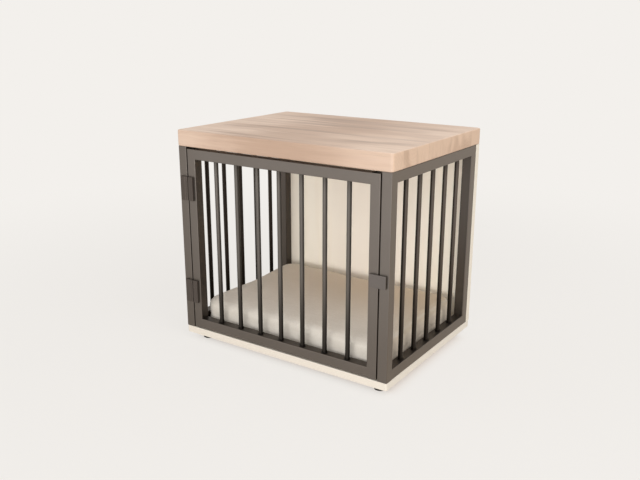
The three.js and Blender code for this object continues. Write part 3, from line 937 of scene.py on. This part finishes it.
pan_tip = tall("top_screw_left_front") / MM
pan_screw = turned("pan_screw", [
    (2.4, 0.0), (3.6, 0.35), (4.5, 1.1), (4.95, 2.2), (5, 3.3), (4.9, 3.5), (2.5, 3.5),
    (2.5, pan_tip - 4), (0.3, pan_tip),
])
flat_tip = tall("base_screw_left_front") / MM
flat_screw = turned("flat_screw", [
    (4.9, 0.0), (5, 0.12), (5, 0.4), (2.5, 2.8), (2.5, flat_tip - 2), (1.5, flat_tip),
])
for model in (pan_screw, flat_screw):
    cross_recess(model)
    smooth(model, 40)

for side, end in screw_ends:
    for kind, model in (("top_screw", pan_screw), ("base_screw", flat_screw)):
        node = f"{kind}_{side}_{end}"
        settle(copy_of(model, middle(node, z=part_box(node)[0].z)), node + "_metal", node)
for side, level in panel_screws:
    node = f"panel_screw_{side}_{level}"
    screw = copy_of(flat_screw, Vector((0, 0, 0)))
    screw.rotation_euler.x = math.pi / 2
    screw.location = middle(node, y=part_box(node)[1].y)
    settle(screw, node + "_metal", node)
for model in (pan_screw, flat_screw):
    bpy.data.objects.remove(model, do_unlink=True)

# %% [markdown]
# ## Feet
# Each foot is a moulded rubber bumper that widens upwards, with a stem pushed into the base. It is
# turned like the screws, with a fine moulding step under its shoulder.

# %% Feet
foot_low, foot_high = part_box("foot_front_left")
stem_top = foot_high.z / MM
rim = (foot_high.x - foot_low.x) / 2 / MM
tread = rim - 2
top = (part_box("plywood_base")[0].z - gap) / MM
foot = turned("foot", [
    (tread - 4, 0.6), (tread - 2.8, 0.15), (tread - 1.8, 0.0), (tread - 0.6, 0.45), (tread, 1.9),
    (rim - 0.7, top - 6), (rim - 0.4, top - 5.4), (rim, top - 5), (rim, top - 1), (rim - 0.8, top),
    (4, top), (4, stem_top - 1), (3, stem_top),
], 48)
smooth(foot, 40)
for end in ENDS:
    for side in SIDES:
        node = f"foot_{end}_{side}"
        settle(copy_of(foot, middle(node, z=0.0)), node + "_rubber", node)
bpy.data.objects.remove(foot, do_unlink=True)

# %% [markdown]
# ## Hinge blocks, latch and pins
# These small solids already have their true outline, down to the knuckles and pockets, so their
# skins begin as copies. A copy of a frame mesh is loose triangles: its doubles are merged and its
# flat faces are dissolved into single ones, and then the sharp edges are eased with a bevel, which
# is what makes small cast and stamped pieces catch the light.

# %% Small fittings
def unlinked_copy(node):
    """A copy of a solid's object and mesh, tied to nothing in the frame."""
    piece = frame["nodes"][node].copy()
    piece.data = frame["nodes"][node].data.copy()
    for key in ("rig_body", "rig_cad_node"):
        if key in piece:
            del piece[key]
    piece.parent = None
    bpy.context.scene.collection.objects.link(piece)
    piece.hide_set(False)
    piece.hide_render = False
    return piece


def merge(piece):
    """A frame mesh is loose triangles, so its doubles are merged first."""
    edit(piece)
    bpy.ops.mesh.select_all(action="SELECT")
    bpy.ops.mesh.remove_doubles(threshold=0.01 * MM)
    leave()
    return piece


def fitting(node, easing, segments=2, angle=35):
    piece = merge(unlinked_copy(node))
    edit(piece)
    bpy.ops.mesh.select_all(action="SELECT")
    bpy.ops.mesh.dissolve_limited(angle_limit=math.radians(1.0))
    leave()
    ease(piece, easing, segments, angle)
    smooth(piece, 40)
    settle(piece, node + "_metal", node)


for level in LEVELS:
    fitting(f"hinge_{level}_post_leaf", 0.16 * MM)
    fitting(f"hinge_{level}_door_leaf", 0.16 * MM)
    fitting(f"hinge_{level}_pin", 0.12 * MM, 1, 50)
fitting("latch_tab", 0.35 * MM)
fitting("latch_washer", 0.15 * MM, 1, 50)
fitting("latch_nut", 0.4 * MM, 2, 50)
fitting("latch_pivot_bolt", 0.35 * MM, 2, 50)
fitting("latch_magnet", 0.3 * MM, 2, 50)

# %% [markdown]
# ## The cushion
# A pad is cloth under tension from its filling, so it is made as one. The frame's own cushion gives
# the cut of the cover, made a little wider and lower first, and fuller at the rear. It is remeshed
# into an even net, and a cloth simulation blows it up from inside. Points are kept from wandering
# too far.

# %% Cushion
pad_low, pad_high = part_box("cushion")
PAD_SIDE_SHARE = 1.02
PAD_TALL_SHARE = 0.98
PAD_LIFT = 1 * MM
REAR_REACH = 4 * MM
REAR_TALL_SHARE = 0.03
VOXEL = 6 * MM
FILL_FRAMES = 20
SWELL_LIMIT = 3.5 * MM


def pad_block():
    block = merge(unlinked_copy("cushion"))
    block.name = "cushion_pad"
    anchor = middle("cushion", z=pad_low.z)
    for vertex in block.data.vertices:
        off = vertex.co - anchor
        rear = max(0.0, off.y / (pad_high.y - anchor.y))
        vertex.co = anchor + Vector((
            off.x * PAD_SIDE_SHARE,
            off.y * PAD_SIDE_SHARE + REAR_REACH * rear,
            off.z * (PAD_TALL_SHARE + REAR_TALL_SHARE * rear) + PAD_LIFT,
        ))
    only(block)
    block.data.remesh_voxel_size = VOXEL
    bpy.ops.object.voxel_remesh()
    return block


def fill_with_air(pad):
    """Blows the pad up with cloth, and caps how far each point moves."""
    start = [vertex.co.copy() for vertex in pad.data.vertices]
    cloth = pad.modifiers.new("fill", "CLOTH")
    cloth.settings.use_pressure = True
    cloth.settings.uniform_pressure_force = 4.0
    cloth.settings.effector_weights.gravity = 0.0
    cloth.settings.tension_stiffness = 12.0
    cloth.settings.bending_stiffness = 0.6
    scene = bpy.context.scene
    for number in range(1, FILL_FRAMES + 1):
        scene.frame_set(number)
    only(pad)
    bpy.ops.object.modifier_apply(modifier=cloth.name)
    scene.frame_set(1)
    for vertex, old in zip(pad.data.vertices, start):
        step = vertex.co - old
        if step.length > SWELL_LIMIT:
            vertex.co = old + step * (SWELL_LIMIT / step.length)


pad = pad_block()
fill_with_air(pad)
for axis in range(3):
    along = [vertex.co[axis] / MM for vertex in pad.data.vertices]
    print("pad", "xyz"[axis], round(min(along), 1), round(max(along), 1), "points", len(along))

# %% [markdown]
# ## Seam and creases
# The cover is sewn together round its side. Remeshing would have lost so fine a seam, so it comes
# now, on a finer net: a shallow groove with small gathers that fade away above and below it. Broad,
# soft noise keeps the sides and the top from being perfect. The base flattens what lies on it.

# %% Sew and settle the cushion
SEAM_HEIGHT = 26 * MM
SEAM_WIDTH = 4 * MM
SEAM_DEPTH = 1.2 * MM
GATHER_REACH = 10 * MM
GATHER_DEPTH = 1.3 * MM
WAVER = 1.6 * MM
FLOOR_GAP = 0.05 * MM


def ripple(point, height, across, upwards, shift=0.0):
    """Soft noise about 0, with a scale across the pad and one upwards."""
    return noise.noise(Vector((point.x * across, point.y * across, height * upwards + shift)))


def gather(pad):
    """Moves points one by one: in at the seam, into creases beside it, and down onto the base."""
    normals = [vertex.normal.copy() for vertex in pad.data.vertices]
    for vertex, normal in zip(pad.data.vertices, normals):
        point = vertex.co
        outward = Vector((normal.x, normal.y, 0.0))
        height = point.z - pad_low.z
        if outward.length > 0.25:
            outward.normalize()
            off = height - SEAM_HEIGHT
            groove = math.exp(-((off / SEAM_WIDTH) ** 2))
            beside = math.exp(-abs(off) / GATHER_REACH)
            crease = max(0.0, ripple(point, height, 52.0, 6.0) - 0.12) * 5.0
            lean = ripple(point, height, 17.0, 9.0, 5.0)
            inward = SEAM_DEPTH * groove + beside * crease * GATHER_DEPTH - WAVER * lean
            vertex.co = point - outward * inward
        elif normal.z > 0.0:
            vertex.co.z += WAVER * ripple(point, height, 5.5, 0.0, 2.0)
    for vertex in pad.data.vertices:
        vertex.co.z = max(vertex.co.z, pad_low.z + FLOOR_GAP)


modify(pad, "SUBSURF", levels=1, render_levels=1)
gather(pad)
modify(pad, "SMOOTH", iterations=1, factor=0.3)
smooth(pad, 180)
settle(pad, "cushion_pad", "cushion")

# %% [markdown]
# ## Studio
# A pale floor and an even, soft light, as in a catalogue picture. The world is a bright dome. What
# the camera or a reflection sees of it is near-white. The floor is paper of the same white: near
# the crate it is lit and takes its shadow, most of all under the base, where a darker, warmer
# shadow is also painted into its colour, and further off it fades into the dome.

# %% Floor and world
STUDIO_WHITE = shade(243, 240, 236)
FLOOR_SIZE = 60.0
BASE_HALF_WIDTH = 0.300
BASE_HALF_DEPTH = 0.225

bpy.ops.object.select_all(action="DESELECT")
bpy.ops.mesh.primitive_plane_add(size=FLOOR_SIZE, location=(0, 0, 0))
floor = bpy.context.object
floor.name = "floor"


def looked_at(tree, *rays):
    """A socket that is 1 for any of the named kinds of ray, and 0 for other light."""
    path = tree.nodes.new("ShaderNodeLightPath")
    total = path.outputs[rays[0]]
    for ray in rays[1:]:
        more = tree.nodes.new("ShaderNodeMath")
        more.operation = "MAXIMUM"
        tree.links.new(total, more.inputs[0])
        tree.links.new(path.outputs[ray], more.inputs[1])
        total = more.outputs[0]
    return total


def studio_paper():
    paper = Finish("studio_paper", Roughness=0.9, Specular_IOR_Level=0.1)
    place = paper.place()
    x, y, _ = paper.parts(place)
    cloud = paper.grain(place, 0.8, detail=2.0)
    under = (BASE_HALF_WIDTH - abs(x)).smooth(-0.020, 0.040)
    under = under * (BASE_HALF_DEPTH - abs(y)).smooth(0.012, 0.055)
    sheet = paper.blend(cloud, shade(240, 237, 233), STUDIO_WHITE)
    # A painted shadow: under the base the paper is painted darker and warmer.
    paper.feed("Base Color", paper.blend(under, sheet, shade(232, 200, 168)))
    away = ((x * x + y * y) ** 0.5).smooth(0.55, 2.2)
    own_light = paper.node("Emission", None, {"Color": STUDIO_WHITE, "Strength": 1.0})
    by_eye = Field(paper, looked_at(paper.tree, "Is Camera Ray"))
    by_gloss = Field(paper, looked_at(paper.tree, "Is Glossy Ray", "Is Transmission Ray"))
    share = by_eye * (away * 0.18 + 0.82 - under * 0.36) + by_gloss * (away * 0.75 + 0.25)
    lit = Field(paper, paper.shader.outputs[0])
    both = paper.node("MixShader", None, {0: share, 1: lit, 2: own_light})
    paper.tree.links.new(both.socket, paper.output.inputs["Surface"])
    return paper.material


def dome(tree, colour, strength):
    """Light of one colour from everywhere."""
    made = tree.nodes.new("ShaderNodeBackground")
    made.inputs["Color"].default_value = colour
    made.inputs["Strength"].default_value = strength
    return made.outputs[0]


def studio_world():
    world = bpy.data.worlds.new("studio")
    world.use_nodes = True
    sky = world.node_tree
    sky.nodes.clear()
    choice = sky.nodes.new("ShaderNodeMixShader")
    output = sky.nodes.new("ShaderNodeOutputWorld")
    seen = looked_at(sky, "Is Camera Ray", "Is Glossy Ray", "Is Transmission Ray")
    sky.links.new(seen, choice.inputs[0])
    sky.links.new(dome(sky, (1.0, 0.985, 0.965, 1.0), 0.50), choice.inputs[1])
    sky.links.new(dome(sky, STUDIO_WHITE, 1.0), choice.inputs[2])
    sky.links.new(choice.outputs[0], output.inputs["Surface"])
    return world


floor.data.materials.append(studio_paper())
bpy.context.scene.world = studio_world()

# %% [markdown]
# ## Lamps
# Two large lamps shape the dome's light, one low in front and one high on the right. The crate's
# roof keeps much of the dome off the back board and the cushion, so each has a low, wide lamp
# linked to it alone, which fills it in through the bars.

# %% Lamps
CRATE_MIDDLE = (0, 0, 0.3)
FILL_PLACE = (0.0, -2.6, 0.27)
FILL_AIM = (0.0, 0.2, 0.27)


def lamp(name, place, aim, wide, high, power, lights=None):
    """An area lamp, with its size in metres. lights names the piece it is for, if it is for one."""
    data = bpy.data.lights.new(name, "AREA")
    data.shape = "RECTANGLE"
    data.size = wide
    data.size_y = high
    data.energy = power
    made = bpy.data.objects.new(name, data)
    made.location = place
    made.rotation_euler = (Vector(aim) - Vector(place)).to_track_quat("-Z", "Y").to_euler()
    bpy.context.scene.collection.objects.link(made)
    if lights:
        reached = bpy.data.collections.new("lit_by_" + name)
        reached.objects.link(bpy.data.objects[lights])
        made.light_linking.receiver_collection = reached


lamp("front_lamp", (0.6, -3.2, 0.95), CRATE_MIDDLE, 2.2, 2.2, 38)
lamp("high_lamp", (2.4, -0.9, 3.0), CRATE_MIDDLE, 2.6, 2.6, 53)
lamp("inside_lamp", FILL_PLACE, FILL_AIM, 3.0, 0.48, 36, lights="back_panel_board")
lamp("pad_lamp", FILL_PLACE, FILL_AIM, 3.0, 0.48, 9, lights="cushion_pad")

bpy.context.scene.view_settings.view_transform = "Standard"
